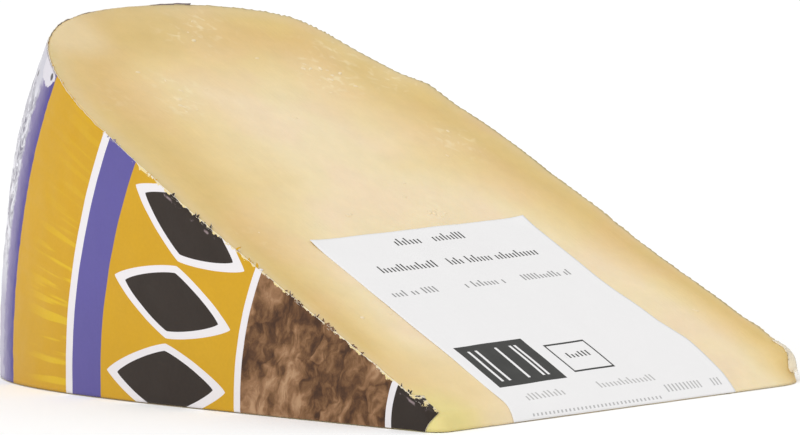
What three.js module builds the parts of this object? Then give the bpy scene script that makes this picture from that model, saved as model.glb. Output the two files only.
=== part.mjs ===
// Wedge of aged sheep cheese, cut from a low wheel with a rounded side, and lying on one of
// its two cut faces. One round face of the wheel carries a printed label that runs on over
// the shoulder and most of the rim, and a small white sticker lies on the upper cut face.
//
// Millimetres, +Z up. The wheel's axis lies level, along Y, at the wedge's tip: the label
// side faces -Y, the plain side +Y, and the tip points to +X. The origin is on the face
// that the wedge lies on.

import * as THREE from 'three';
import { mergeVertices } from 'three/addons/utils/BufferGeometryUtils.js';

// Wheel and cut
const WHEEL_HEIGHT = 97;
const WHEEL_RADIUS = 147.5;
const WEDGE_ANGLE = THREE.MathUtils.degToRad(28);
const AXIS_X = 75; // from the origin to the wheel's axis

// The wheel's side is a superellipse between a flat centre and the rim
const FLAT_RADIUS = 24;
const LABEL_SIDE = { radialPower: 4.55, heightPower: 3.26 };
const PLAIN_SIDE = { radialPower: 3.28, heightPower: 3.15 };

// Worn tip: how far its lower edge stays from the axis, where the upper face starts to roll
// down to that edge, how far it runs on before it bends down, and the radius in plan of the
// corners at the edge's two ends
const TIP_EDGE = { label: 5.2, plain: 1.2 };
const TIP_ROLL = { label: 7.5, plain: 8.6 };
const TIP_FULLNESS = { label: 0.72, plain: 0.15 };
const TIP_CORNER = { label: 3, plain: 10 };

// How much of a corner's rounding the start of the roll takes up, and how much fuller the tip
// is at its plain-side corner
const CORNER_ROLL_SHARE = { label: 0.7, plain: 0.35 };
const CORNER_FULLNESS = 1.1;

// Unevenness left by the cutting wire and the mould: waves along the distance from the axis,
// which fade out towards the tip
const CUT_WAVE = { height: 0.55, length: 74, crest: 96, labelShare: 0.2 };
const SIDE_WAVE = { depth: 0.4, length: 62, crest: 98, sharpness: 6 };
const WAVE_FADE = { none: 6, full: 24 };

// Thin sheets, and the clearance below them
const CLEARANCE = 0.3;
const LABEL_THICKNESS = 0.3;
const STICKER_THICKNESS = 0.25;
const FILM_THICKNESS = 0.35;
const FLOOR_MARGIN = 0.5;

// Printed label: from near the tip, out over the shoulder, to past the middle of the rim
const LABEL_INNER_RADIUS = 10.2;
const LABEL_RIM_REACH = 11;

// White sticker on the upper cut face, folding down over the tip
const STICKER = { far: 63.8, width: 58, middle: -0.8, turn: 0.2, foldTo: 0.92 };

// Fold of clear film that comes down the upper face's plain-side edge and round the tip's
// corner: where it starts, the share of the tip's curve that it spans, how far it turns in with
// the corner, and how far it laps over and stands off the edge
const PLEAT = { start: 13.6, fallTo: 0.74, turnIn: 3.4, lap: 1.2, footTurnIn: 0.3 };
const PLEAT_RISE = { first: 0.8, bulge: 1.35, last: 0.15 };
const PLEAT_FACE_SHARE = 0.25;

// Mesh divisions
const STATIONS = 44;
const RIM_STEPS = 12;
const FACE_STEPS = 22;
const TIP_STEPS = 7;
const LABEL_CENTRE_ROWS = 3;
const LABEL_STATIONS = 26;
const STICKER_COLUMNS = 14;
const STICKER_FACE_ROWS = 10;
const PLEAT_STEPS = 16;
const PLEAT_ARC_STEPS = 6;

const HALF_HEIGHT = WHEEL_HEIGHT / 2;

const material = (color, roughness, options = {}) =>
  new THREE.MeshStandardMaterial({ color, roughness, metalness: 0, ...options });

const mix = THREE.MathUtils.lerp;

// Point [radius, height along the axis] of the wheel's outline. Turn runs from -90 degrees
// at the label face, through 0 at the rim, to +90 at the plain face.
function profilePoint(turn) {
  const side = turn < 0 ? LABEL_SIDE : PLAIN_SIDE;
  const rise = Math.abs(Math.sin(turn)) ** (2 / side.heightPower);
  const reach = Math.max(Math.cos(turn), 0) ** (2 / side.radialPower);
  return [mix(FLAT_RADIUS, WHEEL_RADIUS, reach), Math.sign(turn) * HALF_HEIGHT * rise];
}

// The turn at which the outline has a given height along the axis
function turnAtHeight(y) {
  const side = y < 0 ? LABEL_SIDE : PLAIN_SIDE;
  const rise = Math.min(Math.abs(y) / HALF_HEIGHT, 1);
  return Math.sign(y) * Math.asin(rise ** (side.heightPower / 2));
}

// Outward normal of the outline, as [radial, axial]
function profileNormal(turn) {
  const step = 0.01;
  const [r0, y0] = profilePoint(Math.max(turn - step, -Math.PI / 2));
  const [r1, y1] = profilePoint(Math.min(turn + step, Math.PI / 2));
  const length = Math.hypot(r1 - r0, y1 - y0);
  return [(y1 - y0) / length, -(r1 - r0) / length];
}

// Share of the way from the label face to the plain face, at a height y along the axis
const shareAcross = (y) => (y + HALF_HEIGHT) / WHEEL_HEIGHT;

// How far each of the tip's two corners, rounded in plan, stays back at height y
function cornerDrops(y) {
  const drop = (radius, depth) => {
    const into = THREE.MathUtils.clamp(1 - depth / radius, 0, 1);
    return radius * (1 - Math.sqrt(1 - into * into));
  };
  return {
    label: drop(TIP_CORNER.label, y + HALF_HEIGHT),
    plain: drop(TIP_CORNER.plain, HALF_HEIGHT - y),
  };
}

// Distance of the tip's lower edge from the axis
function tipEdge(y) {
  const drops = cornerDrops(y);
  return mix(TIP_EDGE.label, TIP_EDGE.plain, shareAcross(y)) + drops.label + drops.plain;
}

// Distance along the upper face at which it starts to roll down to the tip's lower edge
function rollStart(y) {
  const drops = cornerDrops(y);
  return mix(TIP_ROLL.label, TIP_ROLL.plain, shareAcross(y))
    + CORNER_ROLL_SHARE.label * drops.label
    + CORNER_ROLL_SHARE.plain * drops.plain;
}

// Point [x, z] of the tip's curve, from the upper face (share 0) to the lower edge (share 1)
function tipPoint(y, share) {
  const start = rollStart(y);
  const edge = tipEdge(y);
  const top = new THREE.Vector2(-start * Math.cos(WEDGE_ANGLE), start * Math.sin(WEDGE_ANGLE));
  const atCorner = cornerDrops(y).plain / TIP_CORNER.plain;
  const fullness = mix(TIP_FULLNESS.label, TIP_FULLNESS.plain, shareAcross(y));
  const furthest = Math.min(edge, -top.x);
  const knee = mix(-top.x, furthest, Math.min(fullness + CORNER_FULLNESS * atCorner, 1));
  const bend = new THREE.Vector2(-knee, knee * Math.tan(WEDGE_ANGLE));
  const foot = new THREE.Vector2(-edge, 0);
  return new THREE.QuadraticBezierCurve(top, bend, foot).getPoint(share).toArray();
}

// Moves a point of the ideal wedge to where the real, slightly uneven cheese has it.
// The points given are measured from the wheel's axis, and those returned from the origin.
function settle(x, y, z) {
  const { clamp } = THREE.MathUtils;
  const distance = Math.hypot(x, z);
  const reach = clamp(y / HALF_HEIGHT, -1, 1);
  const upperHeight = Math.max(-x * Math.tan(WEDGE_ANGLE), 1);
  const calm = THREE.MathUtils.smoothstep(distance, WAVE_FADE.none, WAVE_FADE.full);
  const share = clamp(z / upperHeight, 0, 1) * calm;
  const cutPhase = (2 * Math.PI * (distance - CUT_WAVE.crest)) / CUT_WAVE.length;
  const lift = CUT_WAVE.height * Math.cos(cutPhase) * mix(CUT_WAVE.labelShare, 1, (reach + 1) / 2);
  const sidePhase = (2 * Math.PI * (distance - SIDE_WAVE.crest)) / SIDE_WAVE.length;
  const plainShare = Math.max(reach, 0) ** SIDE_WAVE.sharpness;
  const hollow = SIDE_WAVE.depth * (Math.cos(sidePhase) - 1) * plainShare;
  return [x + AXIS_X, y + hollow * share, z + lift * share];
}

function solid(name, positions, faces, surface) {
  const geometry = new THREE.BufferGeometry();
  geometry.setAttribute('position', new THREE.Float32BufferAttribute(positions.flat(), 3));
  geometry.setIndex(faces.flat());
  const merged = mergeVertices(geometry, 1e-4);
  merged.computeVertexNormals();
  const mesh = new THREE.Mesh(merged, surface);
  mesh.name = name;
  return mesh;
}

// Triangles of the walls between neighbouring rings that all have the same number of points
function ringWalls(rings, size) {
  const faces = [];
  for (let ring = 0; ring < rings - 1; ring += 1) {
    for (let i = 0; i < size; i += 1) {
      const next = (i + 1) % size;
      const a = ring * size + i;
      const b = ring * size + next;
      faces.push([a, b, b + size], [a, b + size, a + size]);
    }
  }
  return faces;
}

// Section of the wedge across the axis at height y, as a closed ring of [x, z]
function wedgeSection(y, rim) {
  const ring = [];
  const edge = tipEdge(y);
  for (let i = 0; i < FACE_STEPS; i += 1) {
    ring.push([-mix(edge, rim, i / FACE_STEPS), 0]);
  }
  for (let i = 0; i < RIM_STEPS; i += 1) {
    const angle = (WEDGE_ANGLE * i) / RIM_STEPS;
    ring.push([-rim * Math.cos(angle), rim * Math.sin(angle)]);
  }
  const start = rollStart(y);
  for (let i = 0; i < FACE_STEPS; i += 1) {
    const distance = mix(rim, start, i / FACE_STEPS);
    ring.push([-distance * Math.cos(WEDGE_ANGLE), distance * Math.sin(WEDGE_ANGLE)]);
  }
  for (let i = 0; i < TIP_STEPS; i += 1) {
    ring.push(tipPoint(y, i / TIP_STEPS));
  }
  return ring;
}

function cheese() {
  const positions = [];
  let size = 0;
  for (let i = 0; i <= STATIONS; i += 1) {
    const turn = mix(-Math.PI / 2, Math.PI / 2, i / STATIONS);
    const [rim, y] = profilePoint(turn);
    const ring = wedgeSection(y, rim);
    size = ring.length;
    ring.forEach(([x, z]) => positions.push(settle(x, y, z)));
  }
  const faces = ringWalls(STATIONS + 1, size);
  const last = STATIONS * size;
  [0, last].forEach((first) => {
    const middle = positions.length;
    const ring = positions.slice(first, first + size);
    const mean = (axis) => ring.reduce((sum, point) => sum + point[axis], 0) / size;
    positions.push([mean(0), ring[0][1], mean(2)]);
    for (let i = 0; i < size; i += 1) {
      const a = first + i;
      const b = first + ((i + 1) % size);
      faces.push(first === 0 ? [b, a, middle] : [a, b, middle]);
    }
  });
  return solid('cheese', positions, faces, material(0xecd8b0, 0.55));
}

// Thin sheet between two offsets of a grid of surface points, with its four edges closed.
// Each point of grid[row][column] is { at: [x, y, z], normal: [x, y, z] }, and the cross
// product of a step in column and a step in row points outwards.
function sheet(name, grid, inner, outer, surface) {
  const rows = grid.length;
  const columns = grid[0].length;
  const positions = [];
  [outer, inner].forEach((offset) => {
    grid.forEach((row) => row.forEach(({ at, normal }) => {
      positions.push(settle(...at.map((value, axis) => value + normal[axis] * offset)));
    }));
  });
  const back = rows * columns;
  const index = (row, column) => row * columns + column;
  const faces = [];
  const quad = (a, b, c, d) => faces.push([a, b, c], [a, c, d]);
  for (let r = 0; r < rows - 1; r += 1) {
    for (let c = 0; c < columns - 1; c += 1) {
      const corners = [index(r, c), index(r, c + 1), index(r + 1, c + 1), index(r + 1, c)];
      quad(...corners);
      quad(...corners.map((corner) => corner + back).reverse());
    }
  }
  const span = (count, at) => Array.from({ length: count - 1 }, (_, i) => at(i));
  const border = [
    ...span(columns, (i) => index(0, i)),
    ...span(rows, (i) => index(i, columns - 1)),
    ...span(columns, (i) => index(rows - 1, columns - 1 - i)),
    ...span(rows, (i) => index(rows - 1 - i, 0)),
  ];
  border.forEach((a, i) => {
    const b = border[(i + 1) % border.length];
    quad(b, a, a + back, b + back);
  });
  return solid(name, positions, faces, surface);
}

// The printed label follows the wheel's outline, and the wedge's angle from cut to cut
function faceLabel() {
  const rows = [];
  const addRow = (radius, y, normal) => {
    const row = [];
    const lowest = Math.asin(FLOOR_MARGIN / radius);
    for (let i = 0; i <= RIM_STEPS; i += 1) {
      const angle = mix(lowest, WEDGE_ANGLE, i / RIM_STEPS);
      const outward = [-Math.cos(angle), Math.sin(angle)];
      row.push({
        at: [radius * outward[0], y, radius * outward[1]],
        normal: [normal[0] * outward[0], normal[1], normal[0] * outward[1]],
      });
    }
    rows.push(row);
  };
  for (let i = 0; i < LABEL_CENTRE_ROWS; i += 1) {
    addRow(mix(LABEL_INNER_RADIUS, FLAT_RADIUS, i / LABEL_CENTRE_ROWS), -HALF_HEIGHT, [0, -1]);
  }
  const lastTurn = turnAtHeight(LABEL_RIM_REACH);
  for (let i = 0; i <= LABEL_STATIONS; i += 1) {
    const turn = mix(-Math.PI / 2, lastTurn, i / LABEL_STATIONS);
    addRow(...profilePoint(turn), i === 0 ? [0, -1] : profileNormal(turn));
  }
  const inner = CLEARANCE;
  return sheet('face_label', rows, inner, inner + LABEL_THICKNESS, material(0xd6a634, 0.45));
}

// One column of the sticker: down the upper face and over the tip
function stickerColumn(across) {
  const turn = THREE.MathUtils.degToRad(STICKER.turn);
  const y = STICKER.middle + across;
  const far = STICKER.far - across * Math.sin(turn);
  const start = rollStart(y);
  const faceNormal = [Math.sin(WEDGE_ANGLE), 0, Math.cos(WEDGE_ANGLE)];
  const column = [];
  for (let i = 0; i < STICKER_FACE_ROWS; i += 1) {
    const distance = mix(far, start, i / STICKER_FACE_ROWS);
    const x = -distance * Math.cos(WEDGE_ANGLE);
    column.push({ at: [x, y, distance * Math.sin(WEDGE_ANGLE)], normal: faceNormal });
  }
  const ahead = 0.01;
  for (let i = 0; i <= TIP_STEPS; i += 1) {
    const share = (STICKER.foldTo * i) / TIP_STEPS;
    const [x, z] = tipPoint(y, share);
    const [xAfter, zAfter] = tipPoint(y, share + ahead);
    const length = Math.hypot(xAfter - x, zAfter - z);
    column.push({ at: [x, y, z], normal: [(z - zAfter) / length, 0, (xAfter - x) / length] });
  }
  return column;
}

function scaleSticker() {
  const grid = [];
  for (let i = 0; i <= STICKER_COLUMNS; i += 1) {
    grid.push(stickerColumn(STICKER.width * (i / STICKER_COLUMNS - 0.5)));
  }
  const inner = CLEARANCE;
  return sheet('scale_sticker', grid, inner, inner + STICKER_THICKNESS, material(0xf2f1ef, 0.6));
}

// Point [x, y, z] of the cheese under the pleat, from the pleat's start (0) to its end (1), at
// the edge or as far in from it as the inset says
function underPleat(share, inset) {
  if (share < PLEAT_FACE_SHARE) {
    const y = HALF_HEIGHT - inset;
    const distance = mix(PLEAT.start, rollStart(y), share / PLEAT_FACE_SHARE);
    return [-distance * Math.cos(WEDGE_ANGLE), y, distance * Math.sin(WEDGE_ANGLE)];
  }
  const fallen = (share - PLEAT_FACE_SHARE) / (1 - PLEAT_FACE_SHARE);
  const y = HALF_HEIGHT - PLEAT.turnIn * fallen - inset;
  const [x, z] = tipPoint(y, PLEAT.fallTo * fallen);
  return [x, y, z];
}

// The film arches from the plain side, over the edge, onto the upper face and the tip
function filmPleat() {
  const grid = [];
  const step = 0.04;
  for (let i = 0; i <= PLEAT_STEPS; i += 1) {
    const share = i / PLEAT_STEPS;
    const edge = new THREE.Vector3(...underPleat(share, 0));
    const before = new THREE.Vector3(...underPleat(share - step, 0));
    const along = new THREE.Vector3(...underPleat(share + step, 0)).sub(before).normalize();
    const up = new THREE.Vector3(-along.z, 0, along.x).normalize();
    const aside = new THREE.Vector3().crossVectors(up, along).normalize();
    const bulge = PLEAT_RISE.bulge * Math.sin(Math.PI * share);
    const swell = mix(PLEAT_RISE.first, PLEAT_RISE.last, share) + bulge;
    const foot = edge.clone().addScaledVector(up, -PLEAT.lap);
    foot.y = mix(HALF_HEIGHT, edge.y, PLEAT.footTurnIn);
    const crest = edge.clone().addScaledVector(up, swell).addScaledVector(aside, swell);
    const landing = new THREE.Vector3(...underPleat(share, PLEAT.lap));
    const arch = new THREE.QuadraticBezierCurve3(foot, crest, landing);
    const row = [];
    for (let j = 0; j <= PLEAT_ARC_STEPS; j += 1) {
      const at = arch.getPoint(j / PLEAT_ARC_STEPS);
      const normal = arch.getTangent(j / PLEAT_ARC_STEPS).cross(along).normalize();
      row.push({ at: at.toArray(), normal: normal.toArray() });
    }
    grid.push(row);
  }
  const inner = CLEARANCE;
  const film = material(0xf4f2ea, 0.15, { transparent: true, opacity: 0.35 });
  return sheet('film_pleat', grid, inner, inner + FILM_THICKNESS, film);
}

const part = new THREE.Group();
part.add(cheese(), faceLabel(), scaleSticker(), filmPleat());

export default part;
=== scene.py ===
import math
import random

import bmesh
import bpy
from mathutils import Matrix, Vector, noise
from mathutils.bvhtree import BVHTree


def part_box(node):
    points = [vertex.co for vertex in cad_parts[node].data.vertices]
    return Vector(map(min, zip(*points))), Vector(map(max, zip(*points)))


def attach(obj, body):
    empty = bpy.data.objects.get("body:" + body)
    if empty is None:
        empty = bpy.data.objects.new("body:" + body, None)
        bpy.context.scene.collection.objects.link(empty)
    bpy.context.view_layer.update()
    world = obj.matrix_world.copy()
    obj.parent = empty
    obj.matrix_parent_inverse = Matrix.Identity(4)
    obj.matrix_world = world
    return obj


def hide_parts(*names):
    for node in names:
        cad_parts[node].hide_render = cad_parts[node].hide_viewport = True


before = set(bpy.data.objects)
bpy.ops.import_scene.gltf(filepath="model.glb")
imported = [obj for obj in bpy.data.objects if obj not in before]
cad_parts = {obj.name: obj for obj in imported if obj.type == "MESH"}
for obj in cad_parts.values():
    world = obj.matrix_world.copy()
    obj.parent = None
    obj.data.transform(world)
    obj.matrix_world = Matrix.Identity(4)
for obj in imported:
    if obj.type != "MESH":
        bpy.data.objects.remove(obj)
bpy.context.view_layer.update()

# The view and the studio.
# A long lens looks along the diagonal between the label side and the tip, from just above the
# table. The table is plain and white, and one very wide soft lamp stands high behind the camera.
CAMERA_AT = Vector((0.91084, -0.89745, 0.15014))
CAMERA_AZIMUTH = math.radians(45.025)
CAMERA_ELEVATION = math.radians(5.336)
CAMERA_ROLL = math.radians(-1.268)
CAMERA_LENS = 306.2
CAMERA_SENSOR = 36.0
CAMERA_NEAR, CAMERA_FAR = 0.05, 60.0

TABLE_REACH = 14.0
TABLE_DROP = 0.0001
TABLE_COLOUR = (254, 254, 254)
TABLE_GLOW = 0.03

LAMP_STRENGTH = 1.25
LAMP_SPREAD = math.radians(60)
LAMP_AZIMUTH = math.radians(20)
LAMP_HEIGHT = math.radians(50)
ROOM_LIGHT = 0.72


def paint(red, green, blue):
    """A colour as a swatch gives it, 0 to 255, on the renderer's own linear scale."""
    def linear(level):
        share = level / 255
        return share / 12.92 if share <= 0.04045 else ((share + 0.055) / 1.055) ** 2.4

    return linear(red), linear(green), linear(blue), 1.0


def feed(node, feeds):
    """Gives a node's inlets their values, or joins them to other nodes' outlets."""
    for inlet, value in feeds.items():
        if isinstance(value, bpy.types.NodeSocket):
            node.id_data.links.new(value, node.inputs[inlet])
        else:
            node.inputs[inlet].default_value = value


def place(tree, kind, feeds=(), **options):
    node = tree.nodes.new(kind)
    for name, value in options.items():
        setattr(node, name, value)
    feed(node, dict(feeds))
    return node


def put_in(name, data):
    """An object for a mesh, a lamp or a lens, put into the scene."""
    thing = bpy.data.objects.new(name, data)
    bpy.context.scene.collection.objects.link(thing)
    return thing


def new_finish(name):
    """A material, with its node tree and its one surface shader."""
    finish = bpy.data.materials.new(name)
    finish.use_nodes = True
    return finish, finish.node_tree, finish.node_tree.nodes["Principled BSDF"]


camera_lens = bpy.data.cameras.new("view")
camera_lens.lens = CAMERA_LENS
camera_lens.sensor_width = CAMERA_SENSOR
camera_lens.clip_start, camera_lens.clip_end = CAMERA_NEAR, CAMERA_FAR
camera = put_in("view", camera_lens)
camera.matrix_world = (
    Matrix.Translation(CAMERA_AT)
    @ Matrix.Rotation(CAMERA_AZIMUTH, 4, "Z")
    @ Matrix.Rotation(math.pi / 2 - CAMERA_ELEVATION, 4, "X")
    @ Matrix.Rotation(CAMERA_ROLL, 4, "Z")
)
bpy.context.scene.camera = camera

lamp_light = bpy.data.lights.new("studio_lamp", "SUN")
lamp_light.energy = LAMP_STRENGTH
lamp_light.angle = LAMP_SPREAD
lamp = put_in("studio_lamp", lamp_light)
lamp.matrix_world = (
    Matrix.Rotation(LAMP_AZIMUTH, 4, "Z") @ Matrix.Rotation(math.pi / 2 - LAMP_HEIGHT, 4, "X")
)

room = bpy.data.worlds.new("room")
room.use_nodes = True
feed(room.node_tree.nodes["Background"], {"Color": (1, 1, 1, 1), "Strength": ROOM_LIGHT})
bpy.context.scene.world = room
bpy.context.scene.view_settings.view_transform = "Standard"

table_shape = bmesh.new()
bmesh.ops.create_grid(table_shape, x_segments=1, y_segments=1, size=TABLE_REACH)
bmesh.ops.translate(table_shape, verts=table_shape.verts, vec=(0, 0, -TABLE_DROP))
table_mesh = bpy.data.meshes.new("table")
table_shape.to_mesh(table_mesh)
table_shape.free()
table_finish, _, table_surface = new_finish("white_table")
feed(table_surface, {
    "Base Color": paint(*TABLE_COLOUR), "Roughness": 0.9, "Specular IOR Level": 0.1,
    "Emission Color": (1, 1, 1, 1), "Emission Strength": TABLE_GLOW,
})
table_mesh.materials.append(table_finish)
table = put_in("table", table_mesh)

# The cheese.
# One wedge of firm sheep cheese, cut from its wheel with a wire and lying on one of its two cuts.
# Its skin is thin and straw-coloured. The cuts are waxy, cream in the middle and golden under
# the skin, where the cheese is drier.
WHEEL_AXIS_X = 0.075
CUT_ANGLE = math.radians(28)
cheese_low, cheese_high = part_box("cheese")
WHEEL_RADIUS = WHEEL_AXIS_X - cheese_low.x
HALF_HEIGHT = cheese_high.y
UPPER_CUT = Vector((math.sin(CUT_ANGLE), 0, math.cos(CUT_ANGLE)))
DOWN_THE_CUT = Vector((math.cos(CUT_ANGLE), 0, -math.sin(CUT_ANGLE)))

WELD = 1e-6
FLAT_WITHIN, SQUARE_WITHIN = math.radians(10), math.radians(50)
SHARP_EDGE = math.radians(24)
# A face is skin where the part of its normal that points out of the wheel, squared, is over this
SKIN_FACING = 0.5
FORM_ROUNDS = 2
GRAIN_DEPTH = 8
GRAIN_SHARE = 0.8
EDGE_WEAR = 0.4
SWELL = {"size": 0.021, "height": 0.00014}
DINT = {"size": 0.0052, "height": 0.00005}
CHATTER = {"size": 0.0023, "stretch": 9.0, "height": 0.00002}
NIBBLE = {"size": 0.0024, "height": 0.00009, "reach": 0.0016}
LEVEL_FOOT = 0.004
# Soft bulges on the wheel's edge: the middle of each, how wide it spreads and how far it stands
BULGES = (
    (Vector((-0.0460, 0.031, 0.0643)), 0.0105, 0.0013),
    (Vector((-0.0221, 0.043, 0.0515)), 0.0046, 0.0008),
    (Vector((0.0185, 0.047, 0.0300)), 0.0095, 0.0006),
    (Vector((0.0590, 0.048, 0.0085)), 0.0040, 0.0006),
    (Vector((0.0640, 0.0475, 0.0062)), 0.0030, 0.0005),
    (Vector((0.0676, 0.0462, 0.0036)), 0.0035, 0.0013),
    (Vector((-0.0545, -0.004, 0.0689)), 0.0160, 0.0005),
    (Vector((-0.0622, -0.030, 0.0500)), 0.0150, 0.0009),
)

# Ripe spots of the upper cut, where crystals lie in pale flecked cheese: the middle of each, in
# millimetres from the axis and across the cut, and how far the paler cheese spreads round it
RIPE_SPOTS = (
    (139.5, 7.0), (135.0, 0.5), (118.0, -16.5), (112.5, -20.5),
    (125.0, 31.0), (120.5, 21.5), (116.5, 24.0), (115.5, 19.5),
    (114.5, 37.0), (90.5, 32.5), (68.5, 7.5),
)
RIPE_REACH = 0.0055

# The skin, and the line that shows under it on the plain side, each fade out between two depths
# in millimetres. A little slack takes up the relief, and the skin's lower edge is ragged
SKIN_FADES_MM = (0.30, 0.15)
EDGE_LINE_FADES_MM = (0.75, 0.45)
SKIN_SLACK_MM = 0.12
SKIN_RAGGED_MM = 0.24
# Colours of the cut at a depth in millimetres under the skin
CUT_COLOURS = (
    (0.0, (208, 186, 137)),
    (1.5, (217, 191, 139)),
    (4.0, (217, 188, 126)),
    (8.0, (216, 185, 121)),
    (13.0, (221, 191, 131)),
    (20.0, (228, 201, 147)),
    (29.0, (232, 209, 163)),
    (36.0, (235, 215, 176)),
    (43.0, (236, 216, 180)),
)
SKIN_COLOUR = (216, 188, 130)
SKIN_SHADE = (200, 169, 111)
EDGE_LINE_COLOUR = (170, 156, 108)
FLECK_COLOUR = (244, 229, 190)
NOSE_COLOUR = (223, 209, 138)
NOSE_AT = (0.068, -0.047, 0.0)
NOSE_REACH = 0.013
# Patches of the cut whose colour is off the rest: the middle, in millimetres from the axis and
# across the cut, the reach, the colour and how strongly it shows
CUT_PATCHES = (
    ((141.0, -27.0), 0.013, (224, 201, 155), 0.85),
    ((142.0, -9.0), 0.015, (213, 183, 119), 0.6),
    ((16.0, -40.0), 0.017, (228, 201, 144), 0.7),
)
# The line under the skin comes in towards the plain side, and ends where the tip begins
EDGE_LINE_SIDE = (-0.010, 0.015)
EDGE_LINE_ENDS = (0.064, 0.056)
# Painted light: the skin of the tip's corner under the film is painted pale, to lift the shade
# there
LIGHTENED_CORNER_AT = (0.069, 0.046, 0.003)
LIGHTENED_CORNER_REACH = 0.012
PAINTED_LIGHT_CORNER_SKIN = (234, 212, 168)
GREENER = (254, 255, 249)
ROSIER = (255, 252, 252)
# The tan under the skin is a little narrower on the plain side, and wider behind the rim
TAN_BAND_SIDE_SHIFT = 0.08
TAN_BAND_RIM_SHIFT = 0.30
RIM_BAND = (-0.100, -0.132)
# Towards the tip the cheese turns cream sooner under its skin: from this distance from the axis,
# and by this much more with each millimetre nearer to it
CREAM_FROM_MM = 74.0
CREAM_GAIN = 0.038


def welded_copy(node):
    """A construction solid's mesh, with its loose triangles welded and paired up to quads."""
    shape = bmesh.new()
    shape.from_mesh(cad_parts[node].data)
    bmesh.ops.remove_doubles(shape, verts=shape.verts, dist=WELD)
    bmesh.ops.join_triangles(
        shape, faces=shape.faces,
        angle_face_threshold=FLAT_WITHIN, angle_shape_threshold=SQUARE_WITHIN,
    )
    return shape


def shown_piece(name, shape, *finishes):
    """Puts a finished shape into the scene as a piece with smooth shading."""
    for face in shape.faces:
        face.smooth = True
    mesh = bpy.data.meshes.new(name)
    shape.to_mesh(mesh)
    shape.free()
    for finish in finishes:
        mesh.materials.append(finish)
    return put_in(name, mesh)


def worked_shape(piece):
    """The piece's mesh with its modifiers worked in, as a shape to go on with. The piece goes."""
    settled = piece.evaluated_get(bpy.context.evaluated_depsgraph_get())
    shape = bmesh.new()
    shape.from_mesh(settled.data)
    old = piece.data
    bpy.data.objects.remove(piece)
    bpy.data.meshes.remove(old)
    return shape


def relief(point, form):
    """Random highs and lows, of one size and height."""
    return noise.noise(point / form["size"]) * form["height"]


def hump(point, middle, spread):
    """1 at a place, and softly less round it."""
    return math.exp(-((point - middle).length / spread) ** 2)


def swell(point):
    """How far the wedge stands proud of its ideal form: slow swells, small dints and bulges."""
    bulge = sum(height * hump(point, middle, spread) for middle, spread, height in BULGES)
    return relief(point, SWELL) + relief(point, DINT) + bulge


def from_axis(point):
    """Distance from the wheel's axis."""
    return math.hypot(WHEEL_AXIS_X - point.x, point.z)


def on_the_cut(distance_mm, across_mm):
    """A place on the upper cut, by its distance from the wheel's axis and its place across."""
    return Vector((WHEEL_AXIS_X, across_mm / 1000, 0)) - DOWN_THE_CUT * (distance_mm / 1000)


def is_skin(face):
    """True where a face of the wedge belongs to the wheel's outside and not to a cut."""
    middle = face.calc_center_median()
    outward = Vector((middle.x - WHEEL_AXIS_X, 0, middle.z)).normalized()
    over_the_rim = max(face.normal.dot(outward), 0)
    return face.normal.y ** 2 + over_the_rim ** 2 > SKIN_FACING


def tree_of(shape, faces):
    """A search tree of some of a shape's faces."""
    corners = [[vert.index for vert in face.verts] for face in faces]
    return BVHTree.FromPolygons([vert.co for vert in shape.verts], corners)


def ease(shape, verts, share):
    """Draws corners towards the middle of their neighbours."""
    bmesh.ops.smooth_vert(
        shape, verts=verts, factor=share, use_axis_x=True, use_axis_y=True, use_axis_z=True,
    )


def with_sharp_edges(shape):
    """Marks the cut edges, so that rounding the wheel's side off leaves them sharp."""
    creases = shape.edges.layers.float.new("crease_edge")
    for edge in shape.edges:
        if edge.calc_face_angle(0) > SHARP_EDGE:
            edge[creases] = 1.0


wedge_form = welded_copy("cheese")
wedge_form.verts.index_update()
skin_tree = tree_of(wedge_form, [face for face in wedge_form.faces if is_skin(face)])
cut_tree = tree_of(wedge_form, [face for face in wedge_form.faces if not is_skin(face)])
wedge_tree = tree_of(wedge_form, wedge_form.faces)

with_sharp_edges(wedge_form)
rough_wedge = shown_piece("rough_wedge", wedge_form)
rounding = rough_wedge.modifiers.new("rounding", "SUBSURF")
rounding.levels = rounding.render_levels = FORM_ROUNDS
even_grain = rough_wedge.modifiers.new("even_grain", "REMESH")
even_grain.mode = "SHARP"
even_grain.octree_depth = GRAIN_DEPTH
even_grain.scale = GRAIN_SHARE
wedge = worked_shape(rough_wedge)
ease(wedge, wedge.verts, EDGE_WEAR)
wedge.normal_update()
skin_depth = wedge.verts.layers.float.new("skin_depth")
ripeness = wedge.verts.layers.float.new("ripeness")
ripe_middles = [on_the_cut(*spot) for spot in RIPE_SPOTS]
for vert in wedge.verts:
    foot = min(max(vert.co.z / LEVEL_FOOT, 0), 1)
    along_cut = vert.co.dot(DOWN_THE_CUT) / CHATTER["size"]
    across_cut = vert.co.y / (CHATTER["size"] * CHATTER["stretch"])
    chatter = noise.noise(Vector((along_cut, across_cut, 0))) * CHATTER["height"]
    vert[skin_depth] = skin_tree.find_nearest(vert.co)[3]
    vert[ripeness] = max(hump(vert.co, middle, RIPE_REACH) for middle in ripe_middles)
    from_edge = max(vert[skin_depth], cut_tree.find_nearest(vert.co)[3])
    at_edge = max(0, 1 - from_edge / NIBBLE["reach"])
    nibble = relief(vert.co, NIBBLE) * at_edge
    vert.co += vert.normal * (swell(vert.co) + chatter + nibble) * foot
    vert.co.z = max(vert.co.z, 0)
wedge.normal_update()


def joined(kind, feeds, **options):
    """A node in the tree of those that feed it."""
    outlets = (value for value in feeds.values() if isinstance(value, bpy.types.NodeSocket))
    return place(next(outlets).id_data, kind, feeds, **options)


def maths(operation, *values):
    return joined("ShaderNodeMath", dict(enumerate(values)), operation=operation).outputs[0]


def worked(operation):
    """One kind of sum, worked from left to right on two or more values."""
    def sum_of(first, *others):
        for other in others:
            first = maths(operation, first, other)
        return first

    return sum_of


plus, minus = worked("ADD"), worked("SUBTRACT")
times, over = worked("MULTIPLY"), worked("DIVIDE")


def vector_maths(operation, feeds):
    return joined("ShaderNodeVectorMath", feeds, operation=operation).outputs


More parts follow.
